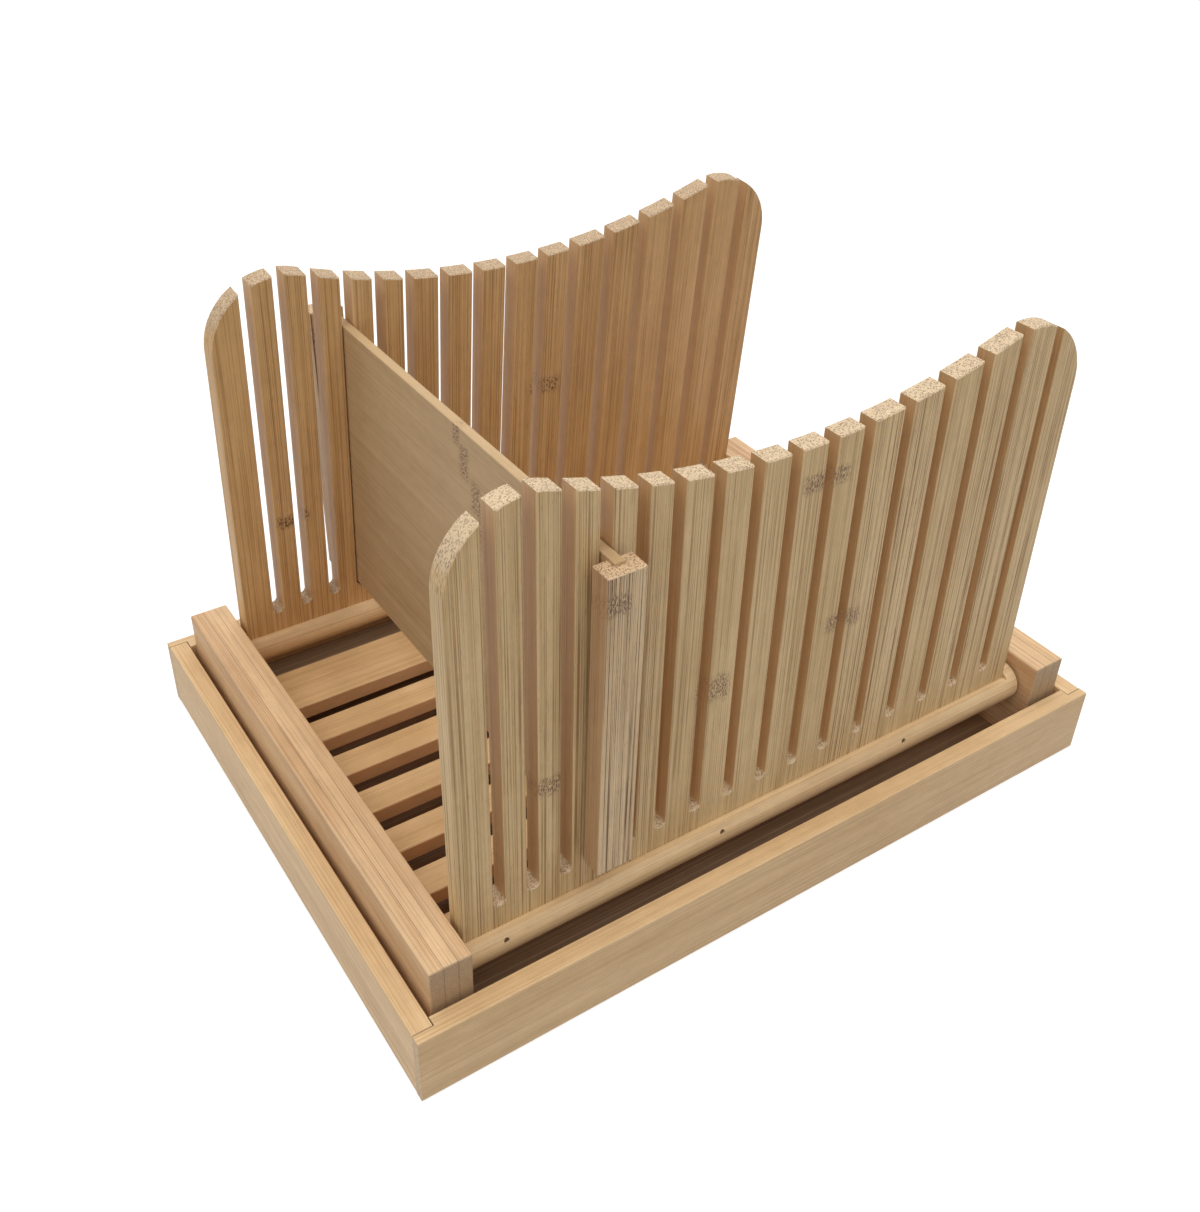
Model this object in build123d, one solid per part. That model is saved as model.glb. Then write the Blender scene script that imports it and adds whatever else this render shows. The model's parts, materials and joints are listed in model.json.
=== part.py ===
from build123d import *
import math
import os

# Bread slicer guide in bamboo: a slatted slicing frame with two folding slotted guide
# panels and a lift-out stop plate, standing loose in a shallow crumb tray.
# Millimetres. X runs along the loaf, Y from the front to the back, Z up.
# The origin is the middle of the crumb tray's underside.

# ---------------------------------------------------------------- driving sizes

# crumb tray
tray_length = 292.0
tray_depth = 218.0
tray_height = 28.0
tray_wall = 7.0
tray_rabbet = 3.6            # how deep a side wall's end is let into the front and back walls
tray_board = 4.0             # thickness of the bottom board
tray_board_lift = 2.0        # from the table up to the board's underside
tray_groove = 3.4            # depth of the groove that holds the board
board_play = 0.2             # the board's play in its groove, on each edge

# end rails of the slicing frame
rail_width = 14.5
rail_top = 43.5
rail_tray_gap = 2.0          # between a rail's outer face and the tray's side wall
rail_end_gap = 1.5           # between a rail's end and the tray's front or back wall

# hinge rods
rod_radius = 8.0
rod_inset = 13.5             # from a rail's end to the rod's axis
rod_axis_z = 31.0
rod_rail_gap = 1.0           # between a rod's end and the rail
foot_strip = 2.3             # flat of the rod left bare beside each face of the panel
tenon_depth = 5.0            # how deep the tenon along the panel's foot goes into the rod
tenon_margin = 2.0           # solid wood between the tenon's end and each hinge pin

# hinge pins
pin_radius = 3.0
pin_in_rod = 9.0
pin_in_rail = 8.0
pin_clearance = 0.06         # radial running clearance in the rail
pin_end_play = 0.5

# brads that fix the panel's foot in its rod
brad_radius = 0.6
brad_length = 13.0
brad_head_radius = 1.0
brad_head = 0.6
brad_sunk = 0.4              # the head lies this far under the rod's surface
brad_height = 2.4            # above the rod's axis
brad_count = 3
brad_first = 13.5            # from the panel's left edge to the first brad
brad_pitch = 84.0

# guide panels
panel_stock = 7.5
panel_peak = 188.5           # height of the rounded corners' tops above the table
panel_hollow = 15.7          # from the corners' tops down to the hollow's lowest point
corner_radius = 25.0
end_slat = 11.5              # width of the outermost slats
slot_width = 4.25
slot_floor = 45.7            # height of the slots' round bottoms above the table
thin_slice = 12.0
middle_slice = 14.0
thick_slice = 16.0
gaps_per_slice = 5           # this many slat-to-slat steps of each slice thickness
panel_rail_gap = 1.5         # between the panels' left edge and the left rail
front_lean = 0.7             # degrees, each panel's inward lean as it stands
back_lean = 4.4

# floor slats
slat_stock = 6.5
slat_top = 22.0
slat_width = 12.0
wide_slat_width = 23.0
narrow_slats = 6
back_slat_gap = 5.1          # between the wide slat and the back rod, measured level
front_slat_gap = 0.7         # between the last narrow slat and the front rod
slat_housing = 5.0           # how deep the slats' ends go into the rails

# stop plate and its two end bars
plate_thickness = 3.5
plate_drop = 9.8             # from the hollow's lowest point down to the plate's top edge
plate_slot = 4               # the slot that the plate stands in, counted from the left
plate_rise = 0.35            # clearance over the slots' floors while the panels fold
bar_width = 13.0
bar_depth = 8.0
bar_drop = 1.0               # from the plate's top edge down to the bars' tops
bar_lift = 3.3               # from the slots' floors up to the bars' feet
bar_groove = 4.0             # how deep the plate's end is let into a bar
bar_panel_gap = 0.8          # between a bar and the upright panel

# small roundings
arris = 0.6                  # on rails, tray walls, slats and bars
fine_arris = 0.4             # on the panels, the plate and the rods' ends

cut_past = 1.0               # how far a cut runs on past the face that it opens

# ---------------------------------------------------------------- worked-out sizes

tray_half_length = tray_length / 2
tray_half_depth = tray_depth / 2
tray_inner_x = tray_half_length - tray_wall
tray_inner_y = tray_half_depth - tray_wall
tray_floor = tray_board_lift + tray_board

rail_outer_x = tray_inner_x - rail_tray_gap
rail_inner_x = rail_outer_x - rail_width
rail_half_length = tray_inner_y - rail_end_gap

rod_axis_y = rail_half_length - rod_inset
rod_end_x = rail_inner_x - rod_rail_gap
flat_half_width = panel_stock / 2 + foot_strip
flat_height = math.sqrt(rod_radius**2 - flat_half_width**2)
foot_z = rod_axis_z + flat_height
tenon_z = foot_z - tenon_depth
tenon_end_x = rod_end_x - pin_in_rod - tenon_margin

slat_back = rod_axis_y - rod_radius - back_slat_gap
slat_front = -rod_axis_y + rod_radius + front_slat_gap
slat_stock_width = wide_slat_width + narrow_slats * slat_width
slat_gap = (slat_back - slat_front - slat_stock_width) / narrow_slats

slice_steps = (thin_slice, middle_slice, thick_slice)
slot_radius = slot_width / 2
panel_dip = panel_peak - panel_hollow
panel_length = 2 * end_slat + gaps_per_slice * sum(slice_steps) + slot_width
panel_left = -rail_inner_x + panel_rail_gap
panel_right = panel_left + panel_length
panel_middle = (panel_left + panel_right) / 2

panel_outer_y = rod_axis_y + panel_stock / 2
bar_inner_y = panel_outer_y + bar_panel_gap
plate_end_y = bar_inner_y + bar_groove
plate_top = panel_dip - plate_drop
bar_top = plate_top - bar_drop
bar_foot = slot_floor + bar_lift

# the rounded slot floor meets the plate's two lower corners, and swings up while folding
slot_floor_side = slot_floor + slot_radius - math.sqrt(slot_radius**2 - (plate_thickness / 2)**2)
slot_floor_reach = math.hypot(slot_floor_side - rod_axis_z, panel_stock / 2)
plate_bottom = rod_axis_z + slot_floor_reach + plate_rise


def slot_centres():
    """Distances from the panel's left edge to the middle of each slot."""
    centre = end_slat + slot_radius
    centres = [centre]
    for step in slice_steps:
        for _ in range(gaps_per_slice):
            centre += step
            centres.append(centre)
    return centres


plate_x = panel_left + slot_centres()[plate_slot - 1]

# ---------------------------------------------------------------- helpers


def block(x, y, z):
    """A box given by its lowest and highest value along each axis."""
    size = (x[1] - x[0], y[1] - y[0], z[1] - z[0])
    middle = ((x[0] + x[1]) / 2, (y[0] + y[1]) / 2, (z[0] + z[1]) / 2)
    return Pos(*middle) * Box(*size)


def rod_along_x(radius, x, y, z):
    """A cylinder along X between two x values, with its axis at y and z."""
    length = x[1] - x[0]
    return Pos((x[0] + x[1]) / 2, y, z) * Rot(0, 90, 0) * Cylinder(radius, length)


def rod_along_y(radius, x, y, z):
    """A cylinder along Y between two y values, with its axis at x and z."""
    length = y[1] - y[0]
    return Pos(x, (y[0] + y[1]) / 2, z) * Rot(90, 0, 0) * Cylinder(radius, length)


def eased(solid, radius, axis):
    """The solid with the long edges along one axis rounded."""
    return fillet(solid.edges().filter_by(axis), radius)


def mirrored(solid):
    """The same piece on the opposite side of the frame, front to back."""
    return mirror(solid, about=Plane.XZ)


def leaning(solid, side, degrees):
    """A folding piece turned about its hinge axis by the lean that it stands with."""
    axis = Axis((0, side * rod_axis_y, rod_axis_z), (side, 0, 0))
    return solid.rotate(axis, degrees)


def grouped(solids):
    """One piece as it is, or several alike as one group of separate solids."""
    return solids[0] if len(solids) == 1 else Compound(children=solids)


# ---------------------------------------------------------------- crumb tray


def tray_long_wall():
    """Front wall: full length, rabbeted at both ends, grooved for the board."""
    outer_y = -tray_half_depth
    inner_y = outer_y + tray_wall
    span = (-tray_half_length, tray_half_length)
    wall = block(span, (outer_y, inner_y), (0, tray_height))
    wall = eased(wall, arris, Axis.X)
    for side in (-1, 1):
        ends = sorted((side * tray_inner_x, side * (tray_half_length + cut_past)))
        rabbet_y = (inner_y - tray_rabbet, inner_y + cut_past)
        wall -= block(ends, rabbet_y, (-cut_past, tray_height + cut_past))
    groove_z = (tray_board_lift, tray_floor)
    reach = tray_inner_x + tray_groove
    wall -= block((-reach, reach), (inner_y - tray_groove, inner_y + cut_past), groove_z)
    return wall


def tray_side_wall():
    """Left wall: its ends stand in the rabbets of the front and back walls."""
    outer_x = -tray_half_length
    inner_x = outer_x + tray_wall
    half = tray_inner_y + tray_rabbet
    wall = block((outer_x, inner_x), (-half, half), (0, tray_height))
    wall = eased(wall, arris, Axis.Y)
    groove_x = (inner_x - tray_groove, inner_x + cut_past)
    groove_z = (tray_board_lift, tray_floor)
    wall -= block(groove_x, (-half - cut_past, half + cut_past), groove_z)
    return wall


def tray_bottom_board():
    half_x = tray_inner_x + tray_groove - board_play
    half_y = tray_inner_y + tray_groove - board_play
    return block((-half_x, half_x), (-half_y, half_y), (tray_board_lift, tray_floor))


# ---------------------------------------------------------------- slicing frame


def floor_slat_spans():
    """Front and back y of each floor slat, the wide one first, from back to front."""
    spans = [(slat_back - wide_slat_width, slat_back)]
    for _ in range(narrow_slats):
        back = spans[-1][0] - slat_gap
        spans.append((back - slat_width, back))
    return spans


def floor_slat(span):
    reach = rail_inner_x + slat_housing
    slat = block((-reach, reach), span, (slat_top - slat_stock, slat_top))
    return eased(slat, arris, Axis.X)


def left_rail():
    rail = block(
        (-rail_outer_x, -rail_inner_x),
        (-rail_half_length, rail_half_length),
        (tray_floor, rail_top),
    )
    rail = fillet(rail.edges(), arris)
    for span in floor_slat_spans():
        rail -= floor_slat(span)
    hole_x = (-rail_inner_x - pin_in_rail - pin_end_play, -rail_inner_x + cut_past)
    for side in (-1, 1):
        y = side * rod_axis_y
        rail -= rod_along_x(pin_radius + pin_clearance, hole_x, y, rod_axis_z)
    return rail


# ---------------------------------------------------------------- folding guides


def panel_outline():
    """Edge loop about the panel's middle: foot, sides, round corners and hollow top."""
    half = panel_length / 2
    corner_x = half - corner_radius
    corner_z = panel_peak - corner_radius
    # the hollow's radius makes it run smoothly into both corners
    drop = panel_dip - corner_z
    hollow_radius = (corner_x**2 + drop**2 - corner_radius**2) / (2 * (corner_radius - drop))
    hollow_z = panel_dip + hollow_radius
    share = corner_radius / (corner_radius + hollow_radius)
    join_x = corner_x * (1 - share)
    join_z = corner_z + (hollow_z - corner_z) * share
    turn = (math.pi / 2 + math.atan2(hollow_z - corner_z, -corner_x)) / 2 - math.pi / 4
    mid_x = corner_x + corner_radius * math.cos(turn)
    mid_z = corner_z + corner_radius * math.sin(turn)
    foot_left = (-half, foot_z)
    foot_right = (half, foot_z)
    side_right = (half, corner_z)
    side_left = (-half, corner_z)
    edges = [
        Line(foot_left, foot_right),
        Line(foot_right, side_right),
        ThreePointArc(side_right, (mid_x, mid_z), (join_x, join_z)),
        ThreePointArc((join_x, join_z), (0, panel_dip), (-join_x, join_z)),
        ThreePointArc((-join_x, join_z), (-mid_x, mid_z), side_left),
        Line(side_left, foot_left),
    ]
    return make_face(edges)


def slot_shape():
    """One open-topped slot with its round floor, its middle at x = 0."""
    floor_z = slot_floor + slot_radius
    top_z = panel_peak + cut_past
    straight = Pos(0, (floor_z + top_z) / 2) * Rectangle(slot_width, top_z - floor_z)
    return straight + Pos(0, floor_z) * Circle(slot_radius)


def brad_places():
    return [panel_left + brad_first + i * brad_pitch for i in range(brad_count)]


def front_brads():
    """One headed brad at each place, driven level through rod and panel foot."""
    z = rod_axis_z + brad_height
    surface = -rod_axis_y - math.sqrt(rod_radius**2 - brad_height**2)
    start = surface + brad_sunk
    brads = []
    for x in brad_places():
        shank = rod_along_y(brad_radius, x, (start, start + brad_length), z)
        head = rod_along_y(brad_head_radius, x, (start, start + brad_head), z)
        brads.append(shank + head)
    return brads


def front_brad_holes():
    """The room for each brad's shank and head, with the open pocket over the sunk head."""
    z = rod_axis_z + brad_height
    surface = -rod_axis_y - math.sqrt(rod_radius**2 - brad_height**2)
    start = surface + brad_sunk
    holes = []
    for x in brad_places():
        holes.append(rod_along_y(brad_radius, x, (start, start + brad_length), z))
        pocket = (surface - cut_past, start + brad_head)
        holes.append(rod_along_y(brad_head_radius, x, pocket, z))
    return holes


def front_tenon():
    """The tongue under the panel's foot, between the two hinge pins."""
    y = (-rod_axis_y - panel_stock / 2, -rod_axis_y + panel_stock / 2)
    return block((-tenon_end_x, tenon_end_x), y, (tenon_z, foot_z))


def front_panel():
    """Slotted panel in the front rod, upright."""
    profile = panel_outline()
    slot = slot_shape()
    profile -= [Pos(centre - panel_length / 2, 0) * slot for centre in slot_centres()]
    panel = extrude(Plane.XZ * profile, panel_stock / 2, both=True)
    rims = panel.edges().group_by(Axis.Y)
    above_foot = [edge for edge in rims[0] + rims[-1] if edge.center().Z > foot_z + fine_arris]
    panel = Pos(panel_middle, -rod_axis_y, 0) * chamfer(above_foot, fine_arris)
    panel += front_tenon()
    for hole in front_brad_holes():
        panel -= hole
    return panel


def front_rod():
    """Round rod with a flat and a groove for the panel's foot, left round past the panel."""
    rod = rod_along_x(rod_radius, (-rod_end_x, rod_end_x), -rod_axis_y, rod_axis_z)
    rod = chamfer(rod.edges(), fine_arris)
    run = (-rod_end_x - cut_past, panel_right)
    flat_y = (-rod_axis_y - rod_radius, -rod_axis_y + rod_radius)
    rod -= block(run, flat_y, (foot_z, foot_z + rod_radius))
    rod -= front_tenon()
    for pin in front_pins():
        rod -= pin
    for hole in front_brad_holes():
        rod -= hole
    return rod


def front_pins():
    """Left and right hinge pins, tight in the rod and free in the rails."""
    inner = rod_end_x - pin_in_rod
    outer = rail_inner_x + pin_in_rail
    pins = []
    for side in (-1, 1):
        span = sorted((side * inner, side * outer))
        pins.append(rod_along_x(pin_radius, span, -rod_axis_y, rod_axis_z))
    return pins


# ---------------------------------------------------------------- stop plate


def stop_plate():
    span_x = (plate_x - plate_thickness / 2, plate_x + plate_thickness / 2)
    plate = block(span_x, (-plate_end_y, plate_end_y), (plate_bottom, plate_top))
    return eased(plate, fine_arris, Axis.Y)


def front_bar():
    """Upright grip bar outside the front panel, grooved for the plate's end."""
    span_x = (plate_x - bar_width / 2, plate_x + bar_width / 2)
    span_y = (-bar_inner_y - bar_depth, -bar_inner_y)
    bar = fillet(block(span_x, span_y, (bar_foot, bar_top)).edges(), arris)
    return bar - stop_plate_blank()


def stop_plate_blank():
    """The square-edged room that the plate takes in a bar's groove, open at both ends."""
    span_x = (plate_x - plate_thickness / 2, plate_x + plate_thickness / 2)
    span_z = (bar_foot - cut_past, bar_top + cut_past)
    return block(span_x, (-plate_end_y, plate_end_y), span_z)


# ---------------------------------------------------------------- the whole object

nodes = {
    "tray_front_wall": tray_long_wall(),
    "tray_back_wall": mirrored(tray_long_wall()),
    "tray_left_wall": tray_side_wall(),
    "tray_right_wall": mirror(tray_side_wall(), about=Plane.YZ),
    "tray_bottom_board": tray_bottom_board(),
    "left_rail": left_rail(),
    "right_rail": mirror(left_rail(), about=Plane.YZ),
}

slat_spans = floor_slat_spans()
nodes["wide_floor_slat"] = floor_slat(slat_spans[0])
for number, slat_span in enumerate(slat_spans[1:], start=1):
    nodes["floor_slat_%d" % number] = floor_slat(slat_span)

folding = {
    "guide_panel": [front_panel()],
    "hinge_rod": [front_rod()],
    "rod_brads": front_brads(),
    "left_hinge_pin": front_pins()[:1],
    "right_hinge_pin": front_pins()[1:],
}
for name, solids in folding.items():
    nodes["front_" + name] = grouped([leaning(s, -1, front_lean) for s in solids])
    nodes["back_" + name] = grouped([leaning(mirrored(s), 1, back_lean) for s in solids])

nodes["stop_plate"] = stop_plate()
nodes["stop_front_bar"] = front_bar()
nodes["stop_back_bar"] = mirrored(front_bar())

os.makedirs("parts", exist_ok=True)
for name, piece in nodes.items():
    export_step(piece, "parts/%s.step" % name)
    volume = sum(solid.volume for solid in piece.solids())
    print(name, "solids", len(piece.solids()), "volume", round(volume, 1))
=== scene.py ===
"""Looks of a bamboo bread slicer guide: glued bamboo boards, sanded, with a thin clear finish.

All lengths in the materials are in millimetres on the piece itself. X runs along the loaf,
Y from the front panel to the back panel, and Z up.
"""

import json
import math

import bpy
from mathutils import Matrix, Vector


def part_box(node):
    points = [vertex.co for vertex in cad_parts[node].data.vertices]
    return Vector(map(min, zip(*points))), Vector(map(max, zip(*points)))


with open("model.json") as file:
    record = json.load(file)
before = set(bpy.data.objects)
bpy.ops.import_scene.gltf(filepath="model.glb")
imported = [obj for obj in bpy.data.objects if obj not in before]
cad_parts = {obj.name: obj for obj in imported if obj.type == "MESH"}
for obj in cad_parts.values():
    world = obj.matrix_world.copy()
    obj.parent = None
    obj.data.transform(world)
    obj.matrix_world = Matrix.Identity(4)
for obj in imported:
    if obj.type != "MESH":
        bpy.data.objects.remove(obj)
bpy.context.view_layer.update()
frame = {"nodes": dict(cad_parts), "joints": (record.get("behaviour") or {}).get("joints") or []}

mm = 0.001


def paint(red, green, blue):
    """A colour from 0 to 255 as the eye sees it, made linear for a shader."""
    linear = [((level / 255 + 0.055) / 1.055) ** 2.4 for level in (red, green, blue)]
    return (*linear, 1.0)


# ------------------------------------------------------------------ shader maths


class Signal:
    """An output of a shader node. Sums of signals add the Math nodes that work them out."""

    def __init__(self, tree, socket=None):
        self.tree = tree
        self.socket = socket

    def node(self, kind, settings, inputs, output=0):
        """Any node: its settings are set first, then its sockets' values or links."""
        made = self.tree.nodes.new(kind)
        for setting, choice in settings.items():
            setattr(made, setting, choice)
        for name, value in inputs.items():
            if isinstance(value, Signal):
                self.tree.links.new(value.socket, made.inputs[name])
            else:
                made.inputs[name].default_value = value
        return Signal(self.tree, made.outputs[output] if made.outputs else None)

    def sum(self, operation, *terms):
        return self.node("ShaderNodeMath", {"operation": operation}, dict(enumerate(terms)))

    def __add__(self, other):
        return self.sum("ADD", self, other)

    def __radd__(self, other):
        return self.sum("ADD", other, self)

    def __sub__(self, other):
        return self.sum("SUBTRACT", self, other)

    def __rsub__(self, other):
        return self.sum("SUBTRACT", other, self)

    def __mul__(self, other):
        return self.sum("MULTIPLY", self, other)

    def __rmul__(self, other):
        return self.sum("MULTIPLY", other, self)

    def __truediv__(self, other):
        return self.sum("DIVIDE", self, other)

    def __abs__(self):
        return self.sum("ABSOLUTE", self)

    def floor(self):
        return self.sum("FLOOR", self)

    def most(self, other):
        return self.sum("MAXIMUM", self, other)

    def rise(self, low, high):
        """0 below low, 1 above high, and a smooth step between them."""
        ends = {"Value": self, "From Min": low, "From Max": high}
        return self.node("ShaderNodeMapRange", {"interpolation_type": "SMOOTHSTEP"}, ends)

    def fall(self, low, high):
        """1 below low, 0 above high, and a smooth step between them."""
        return 1 - self.rise(low, high)

    def near(self, place, soft, sharp=0.0):
        """1 at a place and 0 where this is further than soft from it."""
        return abs(self - place).fall(sharp, soft)

    def vector(self, x, y, z):
        return self.node("ShaderNodeCombineXYZ", {}, {"X": x, "Y": y, "Z": z})

    def parts(self):
        """The three numbers of a vector."""
        split = self.node("ShaderNodeSeparateXYZ", {}, {"Vector": self})
        return [Signal(self.tree, socket) for socket in split.socket.node.outputs]

    def noise(self, detail=1.0, roughness=0.5):
        """Smooth noise about 0.5, with its lumps about one unit of this vector apart."""
        inputs = {"Vector": self, "Scale": 1.0, "Detail": detail, "Roughness": roughness}
        return self.node("ShaderNodeTexNoise", {}, inputs)

    def chance(self):
        """One random number for each whole-number vector."""
        return self.node("ShaderNodeTexWhiteNoise", {}, {"Vector": self})

    def blend(self, first, second, share):
        """The first colour with a share of the second."""
        inputs = {0: share, 6: first, 7: second}
        return self.node("ShaderNodeMix", {"data_type": "RGBA"}, inputs, output=2)

    def mix(self, share, other):
        """This colour with a share of another one."""
        return self.blend(self, other, share)

    def shaded(self, level):
        """This colour or vector times a number."""
        settings = {"operation": "SCALE"}
        return self.node("ShaderNodeVectorMath", settings, {"Vector": self, "Scale": level})


def new_material(name):
    """A material with an empty node tree, and a signal to start its nodes from."""
    material = bpy.data.materials.new(name)
    material.use_nodes = True
    material.node_tree.nodes.clear()
    return material, Signal(material.node_tree)


def close_material(start, colour, roughness, height, depth, metallic=0.0):
    """The shader itself: colour, roughness and a fine relief of the given depth."""
    relief = {"Height": height, "Strength": 1.0, "Distance": depth}
    normal = start.node("ShaderNodeBump", {}, relief)
    inputs = {
        "Base Color": colour,
        "Roughness": roughness,
        "Metallic": metallic,
        "Normal": normal,
    }
    surface = start.node("ShaderNodeBsdfPrincipled", {}, inputs)
    start.node("ShaderNodeOutputMaterial", {}, {"Surface": surface})


# ------------------------------------------------------------------ bamboo


class Tones:
    """The colours of one kind of bamboo piece."""

    def __init__(self, pale, deep, fibre, end, side=None):
        self.pale = pale
        self.deep = deep
        self.fibre = fibre
        self.end = end
        self.side = side


thread_width = 0.42
band_width = 1.7
pore_width = 0.3
bundle_width = 0.66
grit_width = 0.35

pore = paint(92, 60, 36)
# cream is the pale colour of fibres and end grain, and also the painted highlight along rounded
# edges
cream_and_edge_highlight = paint(228, 202, 164)

# Each side tone is partly the bamboo's own colour and partly painted light and shade: painted
# shade on the slot walls and the bars' sides, painted warm bounced light on the slats' front and
# back faces.
front_panel_tones = Tones(
    pale=paint(222, 191, 141), deep=paint(199, 166, 114), fibre=paint(132, 92, 52),
    end=paint(208, 182, 146), side=paint(202, 160, 113),
)
# The back panel's tones are darker and more orange than the front panel's: painted shade on its
# inner face.
shade_darkened_back_panel_tones = Tones(
    pale=paint(226, 184, 128), deep=paint(201, 157, 100), fibre=paint(144, 96, 52),
    end=paint(182, 152, 116), side=paint(214, 174, 124),
)
tray_tones = Tones(
    pale=paint(234, 200, 152), deep=paint(216, 178, 128), fibre=paint(156, 112, 68),
    end=paint(208, 176, 136),
)
rail_tones = Tones(
    pale=paint(236, 200, 154), deep=paint(204, 162, 118), fibre=paint(140, 94, 58),
    end=paint(176, 146, 112),
)
slat_tones = Tones(
    pale=paint(230, 192, 140), deep=paint(214, 172, 118), fibre=paint(164, 120, 72),
    end=paint(216, 184, 142), side=paint(232, 178, 128),
)
rod_tones = Tones(
    pale=paint(236, 204, 157), deep=paint(218, 182, 135), fibre=paint(170, 128, 84),
    end=paint(210, 176, 132),
)
plate_tones = Tones(
    pale=paint(196, 165, 122), deep=paint(178, 146, 104), fibre=paint(146, 110, 74),
    end=paint(204, 174, 134), side=paint(192, 160, 116),
)
bar_tones = Tones(
    pale=paint(228, 200, 158), deep=paint(200, 167, 124), fibre=paint(104, 72, 44),
    end=paint(208, 173, 134), side=paint(184, 145, 103),
)
# The tray board's tones are darkened: painted shade in the deep gaps under the rods and between
# the slats.
shade_darkened_board_tones = Tones(
    pale=paint(138, 104, 70), deep=paint(118, 88, 58), fibre=paint(98, 68, 42),
    end=paint(138, 104, 70),
)


def piece_place(start, fold):
    """Where a point is on its piece, in mm, and how squarely the surface faces each axis.

    A folding piece leans a little, so it is first turned back upright about its hinge.
    """
    place = start.node("ShaderNodeTexCoord", {}, {}, output="Object")
    facing = start.node("ShaderNodeTexCoord", {}, {}, output="Normal")
    if fold:
        pivot = Vector(fold["pos_m"])
        upright = math.radians(fold["range_deg"][0] * fold["axis"][0])
        shift = pivot - Matrix.Rotation(upright, 3, "X") @ pivot
        turn = {"Rotation": (upright, 0.0, 0.0)}
        settings = {"vector_type": "POINT"}
        stand = {"Vector": place, "Location": shift, **turn}
        place = start.node("ShaderNodeMapping", settings, stand)
        settings = {"vector_type": "VECTOR"}
        facing = start.node("ShaderNodeMapping", settings, {"Vector": facing, **turn})
    return [value / mm for value in place.parts()], [abs(value) for value in facing.parts()]


def in_grain_order(values, grain):
    """Three values in the order along the grain, across it, and through the piece."""
    x, y, z = values
    return {"X": (x, y, z), "Y": (y, z, x), "Z": (z, x, y)}[grain]


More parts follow.
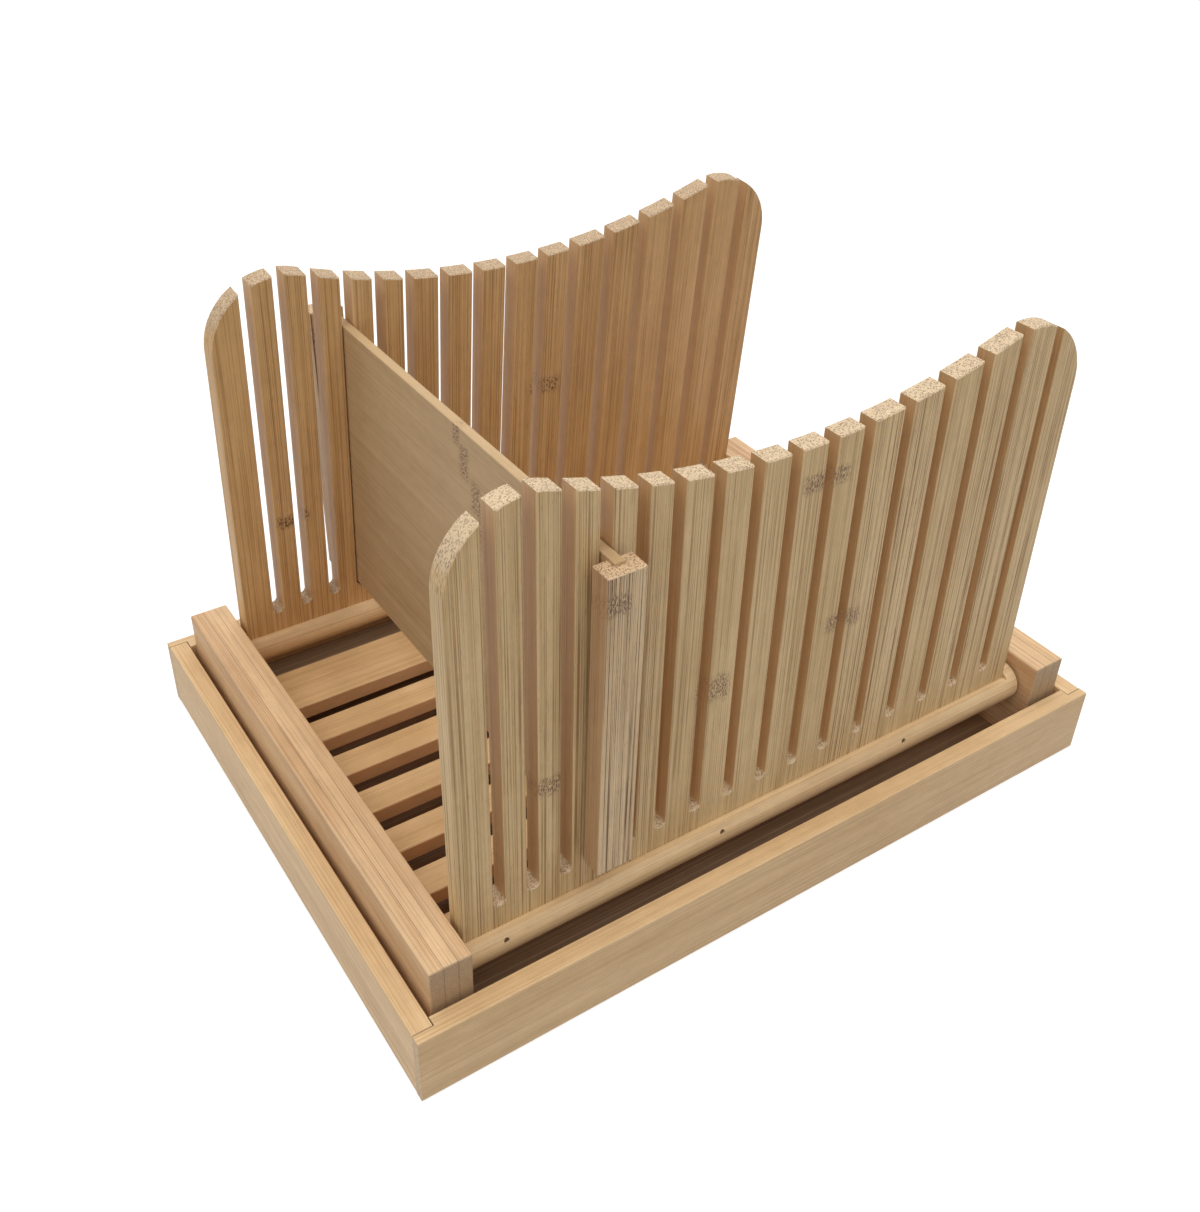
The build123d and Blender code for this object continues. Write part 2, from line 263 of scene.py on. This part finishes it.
def bamboo(name, grain, tones, seed, strips, fold=None, lines=1.0, dots=0.3, knots=(),
           seams=None, side_reach=1000.0):
    """Sanded bamboo with its fibres along one axis, glued up from strips.

    strips holds the axis that they lie side by side on, their width, and where one begins.
    lines is how strongly the fibres show, and dots how strongly their cut ends do. Each
    knot, a node of the cane, has its place across and along the grain and its half width
    and half height. The faces across the grain have their own tone as far as side_reach
    from the middle: partly their own colour, partly painted light and shade.
    """
    material, start = new_material(name)
    place, facing = piece_place(start, fold)
    along, across, through = in_grain_order(place, grain)
    end_facing, across_facing, through_facing = in_grain_order(facing, grain)
    shift = seed * 37.3

    # strips of slightly different tone, with slow clouds along each
    axis, strip_width, first_strip = strips
    strip = ((place["XYZ".index(axis)] - first_strip) / strip_width).floor()
    strip_tone = start.vector(strip, seed, 0).chance()
    strip_lines = start.vector(strip, seed, 1).chance()
    cloud = start.vector(along / 48, across / 8, through / 8 + shift).noise(2.0)
    ground = start.blend(tones.pale, tones.deep, cloud.rise(0.3, 0.7) * 0.5 + strip_tone * 0.5)

    # fibres: long dark threads with pale ones between them, wider soft bands, short pores
    sway = start.vector(along / 200, across / 40, through / 40 + shift).noise()
    bent = across + sway * 2.5
    thread = start.vector(bent / thread_width, through / thread_width, along / 190 + shift)
    thread = thread.noise(1.5, 0.6)
    band = start.vector(bent / band_width, through / band_width, along / 260 + shift).noise()
    fade = start.vector(bent / 3.0, through / 3.0, along / 26 + shift).noise()
    dash = start.vector(bent / pore_width, through / pore_width, along / 4.5 + shift).noise()
    strength = (strip_lines * 0.5 + 0.6) * lines
    dark_thread = thread.rise(0.51, 0.6) * (fade.rise(0.32, 0.6) * 0.5 + 0.5)
    pale_thread = thread.fall(0.38, 0.46)
    streak = dark_thread * 0.7 + band.rise(0.5, 0.7) * 0.14
    fibred = ground.mix(streak * strength, tones.fibre)
    fibred = fibred.mix(pale_thread * strength * 0.36, cream_and_edge_highlight)
    fibred = fibred.mix(dash.rise(0.62, 0.76) * strength * 0.35, tones.fibre)

    # nodes of the cane: short bands of dark curls across a strip
    curl = start.vector(across / 0.55, through / 0.55, along / 1.2 + shift).noise(2.0, 0.7)
    for knot_across, knot_along, half_width, half_height in knots:
        wave = (start.vector(across / 4, through / 4, shift).noise() - 0.5) * half_height
        inside = abs((across - knot_across) / half_width).fall(0.6, 1.0)
        mark = inside * abs((along - knot_along + wave) / half_height).fall(0.3, 1.0)
        fibred = fibred.mix(mark * 0.25, tones.fibre)
        fibred = fibred.mix(mark * curl.rise(0.48, 0.58) * 0.85, pore)
        fibred = fibred.mix(mark * curl.fall(0.37, 0.43) * 0.55, cream_and_edge_highlight)
    # faces across the grain take the side tone: partly their own colour, partly painted shade on
    # slot walls and bar sides and painted bounced light on slat faces
    if tones.side:
        side_tone_and_shading = across_facing.rise(0.75, 0.92) * abs(across).fall(side_reach, side_reach + 1)
        fibred = fibred.mix(side_tone_and_shading * 0.7, tones.side)

    # end grain: cut bundles of fibres as dots
    cell = start.vector(across / bundle_width, through / bundle_width, shift)
    cells = {"Vector": cell, "Scale": 1.0}
    bundles = start.node("ShaderNodeTexVoronoi", {}, cells, output="Distance")
    grit = start.vector(across / grit_width, through / grit_width, along / grit_width + shift)
    grit = grit.noise()
    ended = start.blend(tones.end, pore, bundles.fall(0.28, 0.54) * dots * 0.9)
    ended = ended.mix(grit.rise(0.52, 0.6) * dots * 0.85, cream_and_edge_highlight)
    colour = fibred.mix(end_facing.rise(0.22, 0.5), ended)

    # rounded edges are painted a little paler, a painted highlight along them, and glued seams a
    # little darker
    flattest = end_facing.most(across_facing).most(through_facing)
    colour = colour.mix(flattest.fall(0.82, 0.97) * 0.15, cream_and_edge_highlight)
    if seams:
        colour = colour.mix(seams(place), pore)
    mottle = start.vector(along / 7, across / 3.5, through / 3.5 + shift).noise(3.0, 0.6)
    colour = colour.shaded(grit * 0.16 + mottle * 0.24 + 0.8)

    height = grit * 0.3 - streak * 0.7
    close_material(start, colour, 0.5 + streak * 0.2, height, 0.06 * mm)
    return material


def cover(node, material):
    """Gives a finished material to every material slot of a piece."""
    for slot in frame["nodes"][node].material_slots:
        slot.material = material


def dress_tray():
    """Four walls with their rabbeted corners, and the board in their grooves."""
    side_wall_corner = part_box("tray_left_wall")[1] / mm
    front_wall_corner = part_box("tray_front_wall")[1] / mm
    inner_x = -side_wall_corner.x
    inner_y = -front_wall_corner.y
    end_y = side_wall_corner.y
    top_z = side_wall_corner.z

    def corner_seams(place):
        x, y, z = [abs(value) for value in place]
        end_line = y.near(end_y, 0.28, 0.12) * x.rise(inner_x - 0.3, inner_x)
        end_line = end_line * (z.rise(top_z - 0.6, top_z - 0.1) * 0.85 + 0.15)
        rabbet = y.rise(inner_y - 0.1, inner_y + 0.2) * y.fall(end_y, end_y + 0.3)
        side_line = x.near(inner_x, 0.28, 0.12) * rabbet
        return end_line.most(side_line) * 0.75

    walls = [
        ("tray_front_wall", "X", [(18, 23, 7, 4)]),
        ("tray_back_wall", "X", []),
        ("tray_left_wall", "Y", []),
        ("tray_right_wall", "Y", []),
    ]
    for seed, (wall, grain, knots) in enumerate(walls, start=1):
        cover(wall, bamboo(wall, grain, tray_tones, seed, ("Z", 14.0, 0.0), lines=0.6,
                           knots=knots, seams=corner_seams))
    # the board's darkened tones are painted shade in the gaps above it
    board = "tray_bottom_board"
    cover(board, bamboo(board, "X", shade_darkened_board_tones, 5, ("Y", 19.0, 0.0), lines=0.5))


def dress_frame():
    """Two end rails glued up from three layers, and the floor slats between them."""
    layers = 3
    for seed, side in enumerate(("left", "right"), start=6):
        node = "%s_rail" % side
        low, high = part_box(node)
        low_x = low.x / mm
        layer = (high.x - low.x) / mm / layers

        def glue_lines(place, low_x=low_x, layer=layer):
            x = place[0]
            first = x.near(low_x + layer, 0.25, 0.08)
            return first.most(x.near(low_x + 2 * layer, 0.25, 0.08)) * 0.4

        cover(node, bamboo(node, "Y", rail_tones, seed, ("X", layer, low_x), lines=0.52,
                           dots=0.15, seams=glue_lines))
    wide = "wide_floor_slat"
    cover(wide, bamboo(wide, "X", slat_tones, 8, ("Y", 13.0, 0.0), lines=0.42))
    for number in range(1, 7):
        node = "floor_slat_%d" % number
        cover(node, bamboo(node, "X", slat_tones, 8 + number, ("Y", 40.0, 0.0), lines=0.42))


def dress_guides():
    """Slotted panels of upright strips, with their round rods and hinge pins."""
    folds = {joint["name"]: joint for joint in frame["joints"]}
    front_knots = [(7, 160, 11, 4.5), (23, 102, 9, 5), (-30, 96, 8, 7), (-91, 86, 7, 5)]
    back_knots = [(12, 116, 8, 5), (-98, 88, 8, 4)]
    looks = [
        ("front", front_panel_tones, front_knots, 1.2),
        # the back panel's darker tones are painted shade
        ("back", shade_darkened_back_panel_tones, back_knots, 0.85),
    ]
    for seed, (side, tones, knots, lines) in enumerate(looks, start=20):
        panel = "%s_guide_panel" % side
        inside_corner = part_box(panel)[1].x / mm - 2
        cover(panel, bamboo(panel, "Z", tones, seed, ("X", 26.0, 0.0),
                            fold=folds["%s_fold" % side], lines=lines, dots=0.8,
                            knots=knots, side_reach=inside_corner))
        rod = "%s_hinge_rod" % side
        cover(rod, bamboo(rod, "X", rod_tones, seed + 2, ("Y", 40.0, 20.0), lines=0.5))
        for end in ("left", "right"):
            pin = "%s_%s_hinge_pin" % (side, end)
            cover(pin, bamboo(pin, "X", rod_tones, seed + 4, ("Y", 40.0, 20.0), lines=0.6))


def dress_stop():
    """The stop plate with its grain lying level, and its two upright grip bars."""
    plate_knots = [(161, -8, 6, 3), (152, -13, 7, 4), (142, -20, 7, 4), (131, -24, 8, 4)]
    plate = "stop_plate"
    cover(plate, bamboo(plate, "Y", plate_tones, 30, ("Z", 60.0, 0.0), lines=0.4,
                        knots=plate_knots))
    bar_knots = [(-75, 152, 6, 5)]
    for seed, side in enumerate(("front", "back"), start=31):
        bar = "stop_%s_bar" % side
        cover(bar, bamboo(bar, "Z", bar_tones, seed, ("X", 30.0, 10.0), lines=2.1, dots=0.8,
                          knots=bar_knots))


def dress_brads():
    """Dull steel heads, darkened by age."""
    material, start = new_material("brad_steel")
    place = start.node("ShaderNodeTexCoord", {}, {}, output="Object")
    grit = place.shaded(1 / (0.25 * mm)).noise()
    colour = start.blend(paint(142, 124, 102), paint(92, 76, 60), grit.rise(0.35, 0.65))
    close_material(start, colour, 0.4 + grit * 0.2, grit, 0.01 * mm, metallic=1.0)
    for side in ("front", "back"):
        cover("%s_rod_brads" % side, material)


# ------------------------------------------------------------------ floor, light and camera


def white_rays(start):
    """1 for the rays that show the room itself: to the camera, mirrored, or through glass."""
    rays = ("Is Camera Ray", "Is Glossy Ray", "Is Transmission Ray")
    camera, glossy, through = [start.node("ShaderNodeLightPath", {}, {}, ray) for ray in rays]
    return camera.most(glossy).most(through)


def lay_floor():
    """A pale floor that looks white and keeps the object's shadow."""
    bpy.ops.object.select_all(action="DESELECT")
    bpy.ops.mesh.primitive_plane_add(size=12.0)
    floor = bpy.context.object
    floor.name = "studio_floor"
    material, start = new_material("studio_floor")
    diffuse = start.node("ShaderNodeBsdfDiffuse", {}, {"Color": (0.5, 0.5, 0.5, 1)})
    glow = start.node("ShaderNodeEmission", {}, {"Strength": white_rays(start) * 0.66})
    both = start.node("ShaderNodeAddShader", {}, {0: diffuse, 1: glow})
    start.node("ShaderNodeOutputMaterial", {}, {"Surface": both})
    floor.data.materials.append(material)


def light_room():
    """An even studio sky, white to the camera."""
    world = bpy.data.worlds.new("studio")
    world.use_nodes = True
    world.node_tree.nodes.clear()
    start = Signal(world.node_tree)
    sky_light = 0.25
    strength = white_rays(start) * (1 - sky_light) + sky_light
    inputs = {"Color": (1, 1, 1, 1), "Strength": strength}
    sky = start.node("ShaderNodeBackground", {}, inputs)
    start.node("ShaderNodeOutputWorld", {}, {"Surface": sky})
    bpy.context.scene.world = world


def hang_lamp(name, place, size, power):
    """A square soft box that shines at the middle of the object."""
    lamp = bpy.data.lights.new(name, "AREA")
    lamp.shape = "SQUARE"
    lamp.size = size
    lamp.energy = power
    holder = bpy.data.objects.new(name, lamp)
    bpy.context.scene.collection.objects.link(holder)
    holder.location = place
    aim = Vector((0, 0, 0.08)) - Vector(place)
    holder.rotation_euler = aim.to_track_quat("-Z", "Y").to_euler()


def set_camera():
    """The photograph's view: from the front left and above."""
    lens = bpy.data.cameras.new("front_left")
    lens.lens = 39.117
    lens.sensor_width = 36.0
    lens.shift_x = 0.0163
    lens.shift_y = -0.0480
    lens.clip_start = 0.01
    camera = bpy.data.objects.new("front_left", lens)
    bpy.context.scene.collection.objects.link(camera)
    right = Vector((0.83755458, -0.54605226, 0.01814535))
    up = Vector((0.29738692, 0.48350035, 0.82327907))
    turned = Matrix((right, up, right.cross(up))).transposed().to_4x4()
    camera.matrix_world = Matrix.Translation((-0.238152, -0.325243, 0.362656)) @ turned
    bpy.context.scene.camera = camera


dress_tray()
dress_frame()
dress_guides()
dress_stop()
dress_brads()
lay_floor()
light_room()
hang_lamp("overhead", place=(0.0, 0.0, 1.5), size=2.8, power=39.0)
hang_lamp("left_front", place=(-1.5, -0.6, 0.8), size=1.2, power=3.2)
set_camera()
bpy.context.scene.view_settings.view_transform = "Standard"
